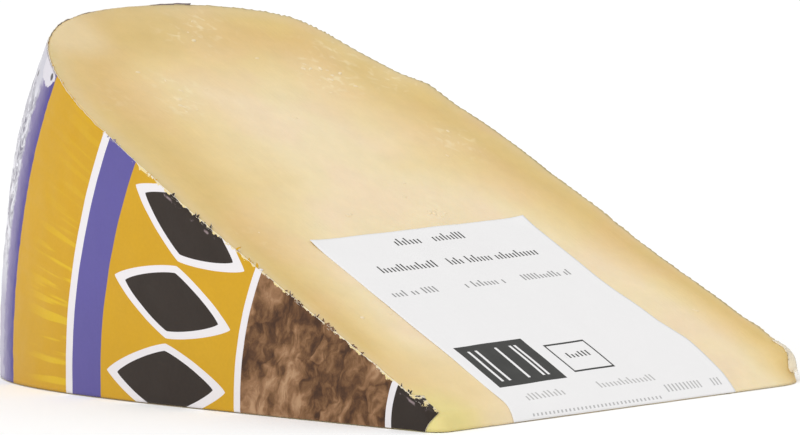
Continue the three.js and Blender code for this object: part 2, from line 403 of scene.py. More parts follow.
def rise(value, start, end):
    """Goes smoothly from 0 to 1 as the value goes from start to end."""
    return joined(
        "ShaderNodeMapRange", {"Value": value, "From Min": start, "From Max": end},
        interpolation_type="SMOOTHSTEP",
    ).outputs["Result"]


def between(share, low, high):
    """Goes evenly from low to high as the share goes from 0 to 1."""
    node = joined("ShaderNodeMapRange", {"Value": share, "To Min": low, "To Max": high})
    return node.outputs["Result"]


def blend(share, first, second, how="MIX"):
    """Lays a second colour over a first one, by a share from 0 to 1."""
    feeds = {0: share, 6: first, 7: second}
    return joined("ShaderNodeMix", feeds, data_type="RGBA", blend_type=how).outputs[2]


def lay(colour, swatch, *shares):
    """Lays a swatch over a colour, by some masks and shares together."""
    return blend(times(*shares), colour, paint(*swatch))


def ramp(value, stops):
    """Colours along a value from 0 to 1, from pairs of place and swatch."""
    node = joined("ShaderNodeValToRGB", {0: value})
    band = node.color_ramp
    while len(band.elements) < len(stops):
        band.elements.new(0.5)
    for element, (at, swatch) in zip(band.elements, stops):
        element.position = at
        element.color = paint(*swatch)
    return node.outputs["Color"]


def object_place(tree, shift=(0, 0, 0), stretch=(1, 1, 1)):
    """The place on the piece, moved so that a pattern is centred on it."""
    where = place(tree, "ShaderNodeTexCoord").outputs["Object"]
    feeds = {"Vector": where, "Location": shift, "Scale": stretch}
    return joined("ShaderNodeMapping", feeds).outputs[0]


def parts_of(vector):
    return joined("ShaderNodeSeparateXYZ", {0: vector}).outputs


def measured(tree, layer):
    """A measure that the mesh carries on its corners."""
    return place(tree, "ShaderNodeAttribute", attribute_name=layer).outputs["Fac"]


def cloud(where, scale, detail=2.0, roughness=0.5, distortion=0.0):
    """Soft random blotches from 0 to 1, with their middle at 0.5."""
    return joined("ShaderNodeTexNoise", {
        "Vector": where, "Scale": scale, "Detail": detail, "Roughness": roughness,
        "Distortion": distortion,
    }).outputs[0]


def blotches(where, scale, **kind):
    """The same blotches, with their middle at 0."""
    return minus(cloud(where, scale, **kind), 0.5)


def fine_relief(height, strength, depth):
    """The way that a surface faces, once relief too fine for the mesh is worked in."""
    feeds = {"Height": height, "Strength": strength, "Distance": depth}
    return joined("ShaderNodeBump", feeds).outputs["Normal"]


def uneven_tone_group():
    """Shared by food and paper: a colour that wanders a little in shade, large and small."""
    group = bpy.data.node_groups.new("uneven_tone", "ShaderNodeTree")
    for name, kind in (
        ("Color", "Color"), ("Vector", "Vector"),
        ("Patch Scale", "Float"), ("Fleck Scale", "Float"), ("Amount", "Float"),
    ):
        group.interface.new_socket(name, in_out="INPUT", socket_type="NodeSocket" + kind)
    group.interface.new_socket("Color", in_out="OUTPUT", socket_type="NodeSocketColor")
    ins = place(group, "NodeGroupInput").outputs
    patches = cloud(ins["Vector"], ins["Patch Scale"], detail=3.0)
    flecks = cloud(ins["Vector"], ins["Fleck Scale"])
    level = times(minus(plus(patches, flecks), 1.0), ins["Amount"])
    scaled = vector_maths("SCALE", {0: ins["Color"], "Scale": plus(level, 1.0)})
    feed(place(group, "NodeGroupOutput"), {"Color": scaled[0]})
    return group


uneven_tone = uneven_tone_group()


def wander(colour, where, patch_scale, fleck_scale, amount):
    """The colour of a face or print, a little uneven in shade."""
    node = place(where.id_data, "ShaderNodeGroup", node_tree=uneven_tone)
    feed(node, {
        "Color": colour, "Vector": where, "Patch Scale": patch_scale,
        "Fleck Scale": fleck_scale, "Amount": amount,
    })
    return node.outputs["Color"]


def nearness(where, spot, reach):
    """1 at a spot on the piece, going smoothly to 0 at a distance from it."""
    off = vector_maths("DISTANCE", {0: where, 1: spot})["Value"]
    return rise(off, reach, reach * 0.3)


def cream_colour(where, depth_mm):
    """The cut's colour, from tan under the skin to cream at the middle, with soft patches."""
    split = parts_of(object_place(where.id_data, shift=(-WHEEL_AXIS_X, 0, 0)))
    nearer_mm = minus(CREAM_FROM_MM, times(split["X"], -1000.0))
    shift = plus(
        times(over(split["Y"], HALF_HEIGHT), TAN_BAND_SIDE_SHIFT),
        times(rise(split["X"], *RIM_BAND), -TAN_BAND_RIM_SHIFT),
        times(CREAM_GAIN, maths("MAXIMUM", nearer_mm, 0.0)),
        times(blotches(where, 48.0, detail=3.0), 0.5),
    )
    shifted = times(depth_mm, plus(shift, 1.0))
    deepest = CUT_COLOURS[-1][0]
    stops = [(depth_at / deepest, swatch) for depth_at, swatch in CUT_COLOURS]
    cream = ramp(over(shifted, deepest), stops)
    tint = rise(cloud(where, 62.0, detail=1.0), 0.40, 0.62)
    cream = blend(1.0, cream, lay(paint(*GREENER), ROSIER, tint), "MULTIPLY")
    for middle, reach, swatch, share in CUT_PATCHES:
        patch = nearness(where, on_the_cut(*middle), reach)
        cream = lay(cream, swatch, patch, share)
    return lay(cream, NOSE_COLOUR, nearness(where, NOSE_AT, NOSE_REACH), 0.85)


def cut_cheese_finish():
    finish, tree, surface = new_finish("cut_cheese")
    where = object_place(tree)
    split = parts_of(where)
    depth_mm = times(measured(tree, "skin_depth"), 1000.0)
    under_skin = maths("MAXIMUM", minus(depth_mm, SKIN_SLACK_MM), 0.0)
    ragged_mm = plus(under_skin, times(cloud(where, 900.0), SKIN_RAGGED_MM))
    colour = lay(
        cream_colour(where, depth_mm), EDGE_LINE_COLOUR,
        rise(ragged_mm, *EDGE_LINE_FADES_MM), rise(split["Y"], *EDGE_LINE_SIDE), 0.7,
        rise(split["X"], *EDGE_LINE_ENDS),
    )
    ripe = measured(tree, "ripeness")
    flecks = rise(cloud(where, 480.0, detail=1.0, distortion=0.5), 0.52, 0.74)
    everywhere = times(rise(cloud(where, 58.0), 0.5, 0.75), 0.3)
    flecks = times(flecks, maths("MAXIMUM", ripe, everywhere))
    flecks = plus(flecks, times(ripe, 0.35))
    colour = lay(colour, FLECK_COLOUR, flecks, 0.38)
    skin_blotch = rise(cloud(where, 120.0, detail=5.0, roughness=0.62), 0.38, 0.68)
    skin = lay(paint(*SKIN_COLOUR), SKIN_SHADE, skin_blotch)
    skin = lay(skin, NOSE_COLOUR, nearness(where, NOSE_AT, NOSE_REACH))
    # Painted light: the skin at the tip's corner is lightened where the film shades it
    skin = lay(skin, PAINTED_LIGHT_CORNER_SKIN, nearness(where, LIGHTENED_CORNER_AT, LIGHTENED_CORNER_REACH))
    colour = blend(rise(ragged_mm, *SKIN_FADES_MM), colour, skin)
    colour = wander(colour, where, 85.0, 1400.0, 0.04)
    colour = wander(colour, where, 150.0, 330.0, 0.085)

    grain = cloud(where, 1500.0, detail=4.0, roughness=0.6)
    drag = cloud(object_place(tree, stretch=(1, 14, 1)), 70.0, detail=3.0)
    feed(surface, {
        "Base Color": colour,
        "Roughness": between(cloud(where, 160.0, detail=3.0), 0.42, 0.62),
        "Specular IOR Level": 0.35,
        "Subsurface Weight": 0.15,
        "Subsurface Radius": (1.0, 0.72, 0.45),
        "Subsurface Scale": 0.0015,
        "Normal": fine_relief(plus(grain, times(drag, 1.3)), 0.35, 0.00012),
    })
    return finish


cheese_piece = shown_piece("cheese_wedge", wedge, cut_cheese_finish())
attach(cheese_piece, "root")
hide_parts("cheese")

# The crystals.
# Small pale grains that ripen out in an aged cheese. They sit half sunk in the upper cut, in
# loose groups, and are a little harder and paler than the cheese round them.
CRYSTAL_SEED = 7
LONE_CRYSTALS, LONE_CRYSTALS_FROM = 26, 0.02
CRYSTALS_PER_GROUP = (2, 5)
CRYSTAL_GROUP_SPREAD = 0.0024
CRYSTAL_RADIUS = (0.0003, 0.00085)
CRYSTAL_FLATNESS = 0.16
CRYSTAL_MARGIN = 0.006
PROBE_FROM = 0.01
# How far from the axis and across the cut the sticker covers it, where no crystals show
STICKER_COVERS = {"from_axis": 0.065, "across": 0.031}
CRYSTAL_COLOUR = (240, 217, 176)


def crystal_spots(draw):
    """Places on the cut, as distances from the axis and across: in groups, and a few alone."""
    spots = []
    for spot_mm in RIPE_SPOTS:
        for _ in range(draw.randint(*CRYSTALS_PER_GROUP)):
            spots.append([at / 1000 + draw.gauss(0, CRYSTAL_GROUP_SPREAD) for at in spot_mm])
    for _ in range(LONE_CRYSTALS):
        distance = draw.uniform(LONE_CRYSTALS_FROM, WHEEL_RADIUS - CRYSTAL_MARGIN)
        spots.append((distance, draw.uniform(-HALF_HEIGHT, HALF_HEIGHT)))
    return spots


def crystal_grains():
    """Flattened round grains, half sunk in the upper cut."""
    draw = random.Random(CRYSTAL_SEED)
    grains = bmesh.new()
    lying = UPPER_CUT.to_track_quat("Z", "Y").to_matrix().to_4x4()
    for distance, across in crystal_spots(draw):
        on_plane = Vector((WHEEL_AXIS_X, across, 0)) - DOWN_THE_CUT * distance
        hit = cheese_tree.ray_cast(on_plane + UPPER_CUT * PROBE_FROM, -UPPER_CUT, 2 * PROBE_FROM)[0]
        size = draw.uniform(*CRYSTAL_RADIUS) * draw.uniform(0.6, 1.0)
        turn = Matrix.Rotation(draw.uniform(0, math.pi), 4, "Z")
        form = Matrix.Diagonal((size, size * draw.uniform(0.35, 0.8), size * CRYSTAL_FLATNESS, 1))
        under_sticker = (
            distance < STICKER_COVERS["from_axis"] and abs(across) < STICKER_COVERS["across"]
        )
        if under_sticker or hit is None or skin_tree.find_nearest(hit)[3] < CRYSTAL_MARGIN:
            continue
        at = Matrix.Translation(hit) @ lying @ turn @ form
        bmesh.ops.create_icosphere(grains, subdivisions=2, radius=1.0, matrix=at)
    return grains


def crystal_finish():
    finish, tree, surface = new_finish("ripe_crystal")
    where = object_place(tree)
    feed(surface, {
        "Base Color": wander(paint(*CRYSTAL_COLOUR), where, 300.0, 4000.0, 0.12),
        "Roughness": 0.45,
        "Subsurface Weight": 0.15,
        "Subsurface Radius": (1.0, 0.7, 0.4),
        "Subsurface Scale": 0.001,
    })
    return finish


cheese_tree = BVHTree.FromObject(cheese_piece, bpy.context.evaluated_depsgraph_get())
crystals = shown_piece("ripened_crystals", crystal_grains(), crystal_finish())
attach(crystals, "root")

# The printed label.
# A paper disc, glued to one round side of the wheel before it was cut, that folds down over the
# shoulder and past the middle of the rim. The wire cut it with the cheese.
LABEL_LIFT = 0.00022
PRINT_LAYERS = ("print_reach", "print_to_cut", "print_turn")
LABEL_PAPER = 0.00014
LABEL_ROUNDS = 3
OUTER_SHEET_GAP = 0.00055
LABEL_FOOT_CAD = 0.0005
LABEL_FOOT = 0.00014
CREASE = {"size": 0.0035, "height": 0.00006}
SHOULDER_PLEATS = {"per_radian": 95.0, "per_metre": 40.0, "height": 0.00008}
PLEATS_COME, PLEATS_GO = (0.108, 0.118), (0.142, 0.132)
RIM_CRUMPLE = {"size": 0.0019, "height": 0.00011}
CRUMPLE_COMES = (0.128, 0.136)
PRESSED_IN = -0.00003
# The torn lip along the cut: how far down it reaches, its usual height, and its tears, each with
# a size, a seed and a share. Between some reaches it stands higher or lower
LIP_REACH = 0.0011
LIP_HEIGHT, LIP_TEAR = 0.00006, 0.00018
LIP_TEARS = ((0.0011, 3, 1.0), (0.0042, 9, 0.6))
LIP_STEPS = (
    (((0.107, 0.111), (0.130, 0.126)), -0.00020),
    (((0.140, 0.150),), 0.00007),
    (((0.196, 0.199),), 0.00016),
)
# Towards the tip the torn end of the label wraps on round the wedge's upright corner: where the
# turn starts and ends, the corner's middle, how far round it goes, how its height drops, the
# corner's radius, from how far out the cheese is felt for, and how the turn grows upwards
WRAP_FROM = 0.0135
WRAP_INNER = 0.0102
WRAP_CENTRE = Vector((0.0650, -0.0452, 0))
WRAP_TURN = {"foot": math.radians(22), "cut": math.radians(62)}
WRAP_DROP = 0.26
WRAP_CORNER = 0.0034
WRAP_PROBE_FROM = 0.03
WRAP_UPWARDS = 1.5
# Near the hub the sheet's long narrow faces are cut into finer rows
HUB_ROWS_WITHIN = 0.024
HUB_ROW_LONG = 0.0006
HUB_ROW_CUTS = 6

GOLD = (210, 163, 22)
GOLD_SHADE = (203, 154, 20)
PLEAT_HIGHLIGHT_GOLD = (222, 184, 24)
PALE_GOLD = (232, 212, 152)
VIOLET = (94, 86, 155)
RIM_VIOLET = (92, 80, 143)
DEEP_VIOLET = (80, 68, 146)
LILAC = (126, 114, 163)
# Silver: thin printed rings, and a painted sheen over the rim
SILVER_PRINT_AND_SHEEN = (214, 213, 220)
WHITE_GLINT = (236, 235, 243)
GREY_FLECK = (150, 147, 158)
DARK_FLECK = (104, 97, 121)
FRAYED = (128, 115, 110)
FOLD_HIGHLIGHT = (158, 140, 142)
WHITE_PRINT = (233, 229, 231)
DARK_PRINT = (46, 36, 29)
SPECK_PRINT = (70, 62, 66)
WOOL_BROWNS = (
    (0.40, (66, 38, 16)),
    (0.46, (95, 62, 34)),
    (0.51, (121, 85, 52)),
    (0.57, (149, 110, 76)),
    (0.65, (184, 146, 110)),
)
WOOL_CURL = 0.007
WOOL_LEVEL = 0.51
TUFTS_PER_METRE = 260.0
TUFT_LEAN = 0.5
TUFT_STRETCH = 2.0
TORN_PAPER = (236, 228, 214)
SCUFFED = (222, 218, 226)

# Rings of the print, in millimetres outwards from the wheel's axis and on down the rim: a dark
# hub, a brown woolly field, gold with dark lozenges, violet, white, gold with fine streaks of
# painted highlight, and on the rim violet, lilac and silver, partly a painted sheen
HUB_EDGE = 16.5
HUB_LINE = 18.0
WOOL_EDGE = 55.5
WOOL_LINE = 57.2
LOZENGE_RING = 76.5
LOZENGE_TALL = 13.6
LOZENGE_WIDE = 5.6
LOZENGE_LINE_SHARE = 1.30
LOZENGE_ROUNDING = 1.2
LOZENGE_STEP = 11.2
LOZENGE_START = 3.4
VIOLET_START = 95.5
WHITE_START = 105.2
WHITE_END = 107.6
PLEAT_HIGHLIGHTS_FULL, PLEAT_HIGHLIGHTS_END = 111.6, 127.0
RIM_START = 133.2
RIM_LINE_END = 135.0
SILVER_START = 140.6
# Where the rim's painted silver sheen comes in, and where it fades out
PAINTED_SHEEN_EDGE = (144.2, 147.6)
PAINTED_SHEEN_FADES = (163.0, 156.0)
FLECKS_COME = (140.6, 143.6)
# Angles round the axis, in degrees up from the table. The painted highlights on the shoulder
# are fainter high up. The rim's painted silver sheen is faint low on the rim, and it carries
# painted glints and dark flecks between two angles, past which the flecks fade
PLEAT_HIGHLIGHTS_FADE = (19.0, 12.0)
SHEEN_FROM = (6.5, 9.0)
SHEEN_LOW = 0.5
FLECKS_FROM = (8.0, 13.0)
FLECKS_TO = (26.0, 24.0)
RIM_RINGS = (168.0, 171.5)
RIM_RING_LINE = 0.5
# The scuffed place high on the shoulder: angle in degrees, reach in millimetres, and its size
SCUFF_AT = (27.4, 139.5)
SCUFF_SIZE = (1.45, 6.5)
SCUFF_SPECKS = ((27.4, 136.0), (25.7, 149.0))
SPECK_SIZE = (0.42, 1.3)
# Painted shade: the label's colour is darkened near the table, up to this height
PAINTED_SHADE_UP_TO = 0.026
# The wire's work, in millimetres under the cut: how deep it bites the print away and where the
# bites start, how far up bare paper shows, the place, wobble and two widths of a painted
# highlight along a fold in the dark print, and between which depths the rim's print is frayed
BITE_DEPTH, BITE_START = -2.6, -1.15
BARE_UP_TO = -0.25
FOLD_AT, FOLD_WOBBLE = 1.9, 1.6
FOLD_FADES = (0.34, 0.05)
FRAYED_FADES = (0.7, 0.15)


def refined_sheet(shape, is_inner, name, rounds):
    """A thin solid's outer face alone, with finer faces. Its corners stay where they were."""
    inner = [face for face in shape.faces if is_inner(face, face.calc_center_median())]
    bmesh.ops.delete(shape, geom=inner, context="FACES")
    piece = shown_piece(name, shape)
    finer = piece.modifiers.new("finer", "SUBSURF")
    finer.levels = finer.render_levels = rounds
    finer.boundary_smooth = "PRESERVE_CORNERS"
    return worked_shape(piece)


def share_of(value, start, end):
    """How far a value has come from start to end, held between 0 and 1."""
    return min(max((value - start) / (end - start), 0), 1)


def lip(reach):
    """How far the torn upper edge of the label stands above the cut, or stops short of it."""
    tear = sum(
        share * noise.noise(Vector((reach / size, seed, 0))) for size, seed, share in LIP_TEARS
    )
    steps = sum(
        height * math.prod(share_of(reach, *span) for span in spans)
        for spans, height in LIP_STEPS
    )
    return LIP_HEIGHT + LIP_TEAR * tear + steps


def angle_of(point):
    """The angle of a place round the wheel's axis, up from the table."""
    return math.atan2(point.z, WHEEL_AXIS_X - point.x)


def round_the_corner(point, angle, wrapped):
    """A place on the cheese further round the wedge's upright corner, and the way out from it."""
    up_the_end = share_of(angle, 0, CUT_ANGLE) ** WRAP_UPWARDS
    turned = wrapped * (WRAP_TURN["foot"] + (WRAP_TURN["cut"] - WRAP_TURN["foot"]) * up_the_end)
    out = Vector((math.sin(turned), -math.cos(turned), 0))
    centre = Vector((point.x, WRAP_CENTRE.y, 0)).lerp(WRAP_CENTRE, wrapped)
    centre.z = point.z * (1 - WRAP_DROP * wrapped)
    probe = cheese_tree.ray_cast(centre + out * WRAP_PROBE_FROM, -out, WRAP_PROBE_FROM)
    if probe[0] is None:
        probe = cheese_tree.find_nearest(centre + out * WRAP_CORNER)
    return probe[0], (probe[1] + out).normalized()


def label_point(vert):
    """A corner of the label's sheet, let down to the table and on round the wedge's tip."""
    point = vert.co.copy()
    if point.z < LEVEL_FOOT:
        sunk = share_of(point.z, LABEL_FOOT_CAD, LEVEL_FOOT)
        point.z = LABEL_FOOT + (LEVEL_FOOT - LABEL_FOOT) * sunk
    wrapped = share_of(from_axis(vert.co), WRAP_FROM, WRAP_INNER)
    if wrapped > 0:
        on_cheese, outward = round_the_corner(point, angle_of(vert.co), wrapped)
        return on_cheese + outward * LABEL_LIFT, outward
    gap = (point - cheese_tree.find_nearest(point)[0]).dot(vert.normal)
    return point + vert.normal * (LABEL_LIFT - gap), vert.normal


def label_sheet():
    def is_inner(_, middle):
        return wedge_tree.find_nearest(middle)[3] < OUTER_SHEET_GAP

    sheet = refined_sheet(welded_copy("face_label"), is_inner, "label_form", LABEL_ROUNDS)
    radial = [
        edge for edge in sheet.edges
        if max(from_axis(vert.co) for vert in edge.verts) < HUB_ROWS_WITHIN
        and abs(from_axis(edge.verts[0].co) - from_axis(edge.verts[1].co)) > HUB_ROW_LONG
    ]
    bmesh.ops.subdivide_edges(sheet, edges=radial, cuts=HUB_ROW_CUTS)
    sheet.normal_update()
    layers = [sheet.verts.layers.float.new(name) for name in PRINT_LAYERS]
    settled = [label_point(vert) for vert in sheet.verts]
    for vert, (point, normal) in zip(sheet.verts, settled):
        angle, distance = angle_of(vert.co), from_axis(vert.co)
        reach = distance + (vert.co.y + HALF_HEIGHT)
        to_cut = (CUT_ANGLE - angle) * distance
        for layer, measure in zip(layers, (reach, to_cut, angle)):
            vert[layer] = measure
        pleat = noise.noise(Vector((
            angle * SHOULDER_PLEATS["per_radian"], reach * SHOULDER_PLEATS["per_metre"], 5,
        )))
        pleated = share_of(reach, *PLEATS_COME) * share_of(reach, *PLEATS_GO)
        crumple = relief(vert.co, RIM_CRUMPLE) * share_of(reach, *CRUMPLE_COMES)
        lift = max(relief(vert.co, CREASE), PRESSED_IN) + max(crumple, PRESSED_IN)
        lift += SHOULDER_PLEATS["height"] * pleated * (pleat + 0.3)
        at_lip = share_of(to_cut, LIP_REACH, 0)
        vert.co = point + normal * lift + UPPER_CUT * lip(reach) * at_lip
    return sheet


def below(value, limit):
    """1 where a value is below a limit, and 0 elsewhere."""
    return maths("LESS_THAN", value, limit)


def ring(reach, start, end):
    """1 between two distances from the wheel's middle, and 0 elsewhere."""
    return times(maths("GREATER_THAN", reach, start), below(reach, end))


def in_step(value, start, step):
    """How far a value is from the nearest of many places that are a step apart."""
    steps = over(minus(value, start), step)
    return times(minus(steps, maths("ROUND", steps)), step)


def oval(first, second, middle, size):
    """How far two measures are from a middle, as the square of their share of an oval's size."""
    return plus(*(
        maths("POWER", over(minus(value, at), across), 2.0)
        for value, at, across in zip((first, second), middle, size)
    ))


def print_place(tree):
    """Measures of the print: the reach and the way to the cut in mm, and the angle in degrees."""
    reach, to_cut, turn = (measured(tree, name) for name in PRINT_LAYERS)
    return times(reach, 1000.0), times(to_cut, 1000.0), maths("DEGREES", turn)


def flat_noise(first, second, detail=2.0, roughness=0.5):
    """Blotches over two measures of the print, so that they can be drawn out along one."""
    spot = joined("ShaderNodeCombineXYZ", {0: first, 1: second}).outputs[0]
    return cloud(spot, 1.0, detail=detail, roughness=roughness)


def woolly_brown(where):
    """Short overlapping tufts of fleece, printed in browns, each in a tone of its own."""
    drift = joined("ShaderNodeTexNoise", {"Vector": where, "Scale": 170.0, "Detail": 2.0})
    curl = vector_maths("SCALE", {0: drift.outputs["Color"], "Scale": WOOL_CURL})[0]
    leaning = joined("ShaderNodeMapping", {
        "Vector": vector_maths("ADD", {0: where, 1: curl})[0],
        "Rotation": (0, TUFT_LEAN, 0), "Scale": (1, 1, TUFT_STRETCH),
    }, vector_type="TEXTURE").outputs[0]
    tufts = joined("ShaderNodeTexVoronoi", {
        "Vector": leaning, "Scale": TUFTS_PER_METRE, "Smoothness": 0.15,
    }, feature="SMOOTH_F1").outputs
    level = WOOL_LEVEL
    for value, usual, weight in (
        (parts_of(tufts["Color"])[0], 0.5, 0.10),
        (tufts["Distance"], 0.45, -0.10),
        (cloud(leaning, 420.0, detail=5.0, roughness=0.62), 0.5, 0.50),
        (cloud(where, 55.0), 0.5, 0.28),
    ):
        level = plus(level, times(minus(value, usual), weight))
    return ramp(level, WOOL_BROWNS)


def dark_print(where):
    return wander(paint(*DARK_PRINT), where, 150.0, 1500.0, 0.3)


def gold_print(where, reach, angle):
    # Gold, with thin streaks of painted highlight that run outwards over the shoulder, for light on
    # its pleats.
    """Gold, with thin streaks of painted highlight that run outwards over the shoulder, for light
    on its pleats.
    """
    gold = lay(paint(*GOLD), GOLD_SHADE, cloud(where, 60.0, detail=4.0))
    # Painted highlights: pale streaks over the shoulder stand in for light catching its pleats
    pleat_highlights = flat_noise(times(angle, 1.15), times(reach, 0.028))
    gold = lay(
        gold, PLEAT_HIGHLIGHT_GOLD, rise(pleat_highlights, 0.52, 0.60), rise(reach, PLEAT_HIGHLIGHTS_END, PLEAT_HIGHLIGHTS_FULL),
        plus(0.25, times(rise(angle, *PLEAT_HIGHLIGHTS_FADE), 0.75)),
        ring(reach, WHITE_END, PLEAT_HIGHLIGHTS_END), 0.9,
    )
    return wander(gold, where, 110.0, 1700.0, 0.09)


def field_print(colour, where, reach):
    """The hub and the woolly field round it, each inside a white line."""
    for line, edge, field in (
        (WOOL_LINE, WOOL_EDGE, woolly_brown), (HUB_LINE, HUB_EDGE, dark_print),
    ):
        colour = lay(colour, WHITE_PRINT, below(reach, line))
        colour = blend(below(reach, edge), colour, field(where))
    return colour


def lozenge_print(colour, where, reach, angle):
    """Dark lozenges with white outlines, set in a ring on the gold."""
    off_axis = maths("RADIANS", in_step(angle, LOZENGE_START, LOZENGE_STEP))
    lozenge = plus(*(
        maths("POWER", over(maths("ABSOLUTE", off), size), LOZENGE_ROUNDING)
        for off, size in (
            (times(off_axis, reach), LOZENGE_WIDE),
            (minus(reach, LOZENGE_RING), LOZENGE_TALL),
        )
    ))
    colour = lay(colour, WHITE_PRINT, below(lozenge, LOZENGE_LINE_SHARE))
    inside = below(lozenge, 1.0)
    return blend(inside, colour, dark_print(where)), inside


def rim_print(where, reach, angle):
    """Violet over the shoulder, then lilac, with a painted silver sheen whose upper part is flecked
    with painted glints.
    """
    band = lay(paint(*RIM_VIOLET), LILAC, rise(reach, RIM_LINE_END, SILVER_START))
    band = lay(band, DEEP_VIOLET, below(reach, RIM_LINE_END))
    band = wander(band, where, 200.0, 900.0, 0.18)
    # Painted sheen: a ragged band of silver over the rim, fainter low down
    streaks = flat_noise(times(angle, 0.9), times(reach, 0.22), detail=4.0, roughness=0.6)
    wavy = plus(reach, times(streaks, 8.0))
    fades = rise(reach, *PAINTED_SHEEN_FADES)
    sheen_by_height = plus(SHEEN_LOW, times(rise(angle, *SHEEN_FROM), 1 - SHEEN_LOW))
    band = lay(band, SILVER_PRINT_AND_SHEEN, rise(wavy, *PAINTED_SHEEN_EDGE), fades, sheen_by_height, 0.85)
    # Painted glints: white flecks on the sheen's upper part, with grey and dark flecks between
    flecks = cloud(where, 380.0, detail=3.0, roughness=0.55, distortion=1.2)
    flecked = times(
        rise(angle, *FLECKS_FROM), rise(angle, *FLECKS_TO),
        rise(reach, *FLECKS_COME), fades,
    )
    band = lay(band, GREY_FLECK, flecked, 0.5)
    for start, full, swatch in ((0.51, 0.58, WHITE_GLINT), (0.45, 0.38, DARK_FLECK)):
        band = lay(band, swatch, rise(flecks, start, full), flecked, 0.9)
    # The thin silver rings are print
    for at in RIM_RINGS:
        band = lay(band, SILVER_PRINT_AND_SHEEN, ring(reach, at, at + RIM_RING_LINE))
    torn = plus(
        oval(angle, reach, SCUFF_AT, SCUFF_SIZE),
        times(blotches(where, 480.0, detail=4.0, roughness=0.6), 1.4),
    )
    band = lay(band, SCUFFED, below(torn, 0.75))
    ragged = times(1.6, blotches(where, 900.0))
    for speck in SCUFF_SPECKS:
        apart = plus(maths("SQRT", oval(angle, reach, speck, SPECK_SIZE)), ragged)
        band = lay(band, SPECK_PRINT, rise(apart, 1.0, 0.6))
    return band


def torn_edge(colour, where, reach, to_cut, on_dark):
    """The wire's work: print bitten away along the cut, and a painted highlight along a fold inside
    the dark parts.
    """
    bites = cloud(where, 620.0, detail=4.0, roughness=0.65)
    bitten = below(plus(to_cut, times(bites, BITE_DEPTH)), BITE_START)
    paper = lay(paint(*TORN_PAPER), PALE_GOLD, rise(bites, 0.4, 0.6))
    under_lip = maths("GREATER_THAN", to_cut, BARE_UP_TO)
    colour = blend(times(bitten, below(reach, VIOLET_START), under_lip), colour, paper)
    # Painted highlight: a broken pale line along a fold in the dark print
    wobble = times(cloud(where, 260.0, detail=3.0), FOLD_WOBBLE)
    off_fold = maths("ABSOLUTE", minus(plus(to_cut, wobble), FOLD_AT))
    here_and_there = rise(cloud(where, 420.0, detail=4.0, roughness=0.6), 0.50, 0.60)
    return lay(colour, FOLD_HIGHLIGHT, rise(off_fold, *FOLD_FADES), on_dark, here_and_there, 0.8)


def printed_label_finish():
    finish, tree, surface = new_finish("printed_label")
    where = object_place(tree, shift=(-WHEEL_AXIS_X, 0, 0))
    reach, to_cut, angle = print_place(tree)
    colour = gold_print(where, reach, angle)
    colour = field_print(colour, where, reach)
    colour, on_lozenge = lozenge_print(colour, where, reach, angle)
    violet = wander(paint(*VIOLET), where, 120.0, 1500.0, 0.10)
    colour = blend(ring(reach, VIOLET_START, WHITE_START), colour, violet)
    colour = lay(colour, WHITE_PRINT, ring(reach, WHITE_START, WHITE_END))
    on_dark = maths("MAXIMUM", on_lozenge, below(reach, HUB_EDGE))
    colour = torn_edge(colour, where, reach, to_cut, on_dark)
    on_rim = maths("GREATER_THAN", reach, RIM_START)
    colour = blend(on_rim, colour, rim_print(where, reach, angle))
    colour = lay(colour, FRAYED, on_rim, rise(to_cut, *FRAYED_FADES), 0.75)
    # Painted shade: the label's colour darkens towards the table
    painted_shade = times(rise(parts_of(where)["Z"], PAINTED_SHADE_UP_TO, 0.0), 0.10)
    shade = blend(painted_shade, (1, 1, 1, 1), (0.2, 0.2, 0.2, 1))

    creases = cloud(where, 520.0, detail=5.0, roughness=0.6)
    crumples = cloud(where, 700.0, detail=3.0, distortion=1.0)
    depth = plus(creases, times(crumples, times(on_rim, 2.5)))
    feed(surface, {
        "Base Color": blend(1.0, colour, shade, "MULTIPLY"),
        "Roughness": between(cloud(where, 240.0, detail=3.0), 0.36, 0.5),
        "Specular IOR Level": 0.25,
        "Coat Weight": times(rise(reach, RIM_START, SILVER_START), 0.35),
        "Normal": fine_relief(depth, 0.3, 0.0001),
    })
    return finish


def torn_paper_finish():
    finish, tree, surface = new_finish("torn_paper")
    where = object_place(tree)
    feed(surface, {
        "Base Color": wander(paint(*TORN_PAPER), where, 500.0, 3000.0, 0.15),
        "Roughness": 0.8,
    })
    return finish


def with_wall(piece, thickness, edge_finish=0):
    """Gives a sheet its thickness inwards. Its edges may show another of its finishes."""
    wall = piece.modifiers.new("wall", "SOLIDIFY")
    wall.thickness = thickness
    wall.offset = -1
    wall.material_offset_rim = edge_finish
    return piece


label_finishes = printed_label_finish(), torn_paper_finish()
label = with_wall(shown_piece("printed_label", label_sheet(), *label_finishes), LABEL_PAPER, 1)
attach(label, "root")
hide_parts("face_label")

# The flakes along the cut.
# Where the wire tore through the label it left short bits of paper along the edge, which stand
# up or curl in over the cut. They lie thickest where the print is dark.
FLAKE_SEED = 21
FLAKE_TRIES = 620
FLAKE_LENGTH = (0.0003, 0.0011)
FLAKE_WIDTH = (0.00025, 0.0008)
FLAKE_PAPER = 0.00006
FLAKE_GROUP = 0.0034
FLAKES_BETWEEN = (0.0095, 0.134)
# Past the ring of lozenges the flakes are rare
FLAKES_RARE_FROM, FLAKES_RARE = 0.107, 0.15
FLAKE_PROBE_UNDER = 0.0012
FLAKE_ROOT = (0.0008, 0.0013)
INWARD = Vector((0, 1, 0))


